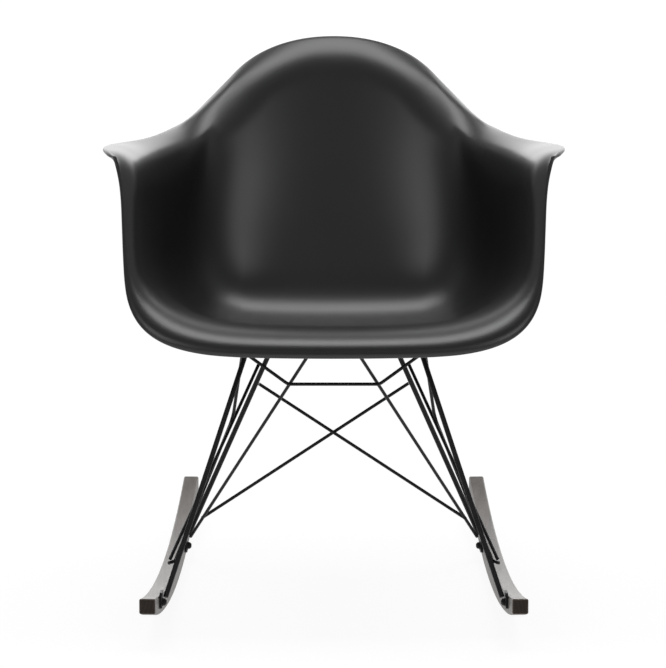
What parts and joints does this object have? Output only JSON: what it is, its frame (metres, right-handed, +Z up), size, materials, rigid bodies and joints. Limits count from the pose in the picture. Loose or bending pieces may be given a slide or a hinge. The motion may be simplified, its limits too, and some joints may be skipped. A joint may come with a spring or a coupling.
{
  "type": "rocking chair",
  "caption": "Moulded plastic bucket armchair on a cross-braced steel rod base with curved wooden rocker runners.",
  "frame": {"origin": "floor under the middle of the chair, where both runners touch it when the empty chair stands level", "axes": "+X to the right as seen from the front, -Y the way a sitter faces, +Z up from the floor"},
  "size_m": [0.6326, 0.7798, 0.7301],
  "materials": {
    "shell": "satin black",
    "coated_steel": "black powder coat",
    "wood": "dark stained, satin",
    "rubber": "matte",
    "black_bolt": "black oxide",
    "zinc": "zinc plated",
    "brass": "plain"
  },
  "bodies": {
    "root": {"seat_shell": "shell", "front_cross_bar": "coated_steel", "arch_brace": "coated_steel", "left_runner": "wood", "left_side_brace": "coated_steel", "left_bent_side_brace": "coated_steel", "left_cross_brace": "coated_steel", "front_left_foot_plate": "coated_steel", "front_left_leg": "coated_steel", "front_left_mount_plate": "coated_steel", "rear_left_foot_plate": "coated_steel", "rear_left_leg": "coated_steel", "rear_left_mount_plate": "coated_steel", "right_runner": "wood", "right_side_brace": "coated_steel", "right_bent_side_brace": "coated_steel", "right_cross_brace": "coated_steel", "front_right_foot_plate": "coated_steel", "front_right_leg": "coated_steel", "front_right_mount_plate": "coated_steel", "rear_right_foot_plate": "coated_steel", "rear_right_leg": "coated_steel", "rear_right_mount_plate": "coated_steel", "shock_mounts": "rubber", "foot_bolts": "black_bolt", "foot_washers": "black_bolt", "seat_screws": "zinc", "seat_screw_washers": "zinc", "runner_inserts": "brass", "shell_inserts": "brass"}
  },
  "joints": []
}
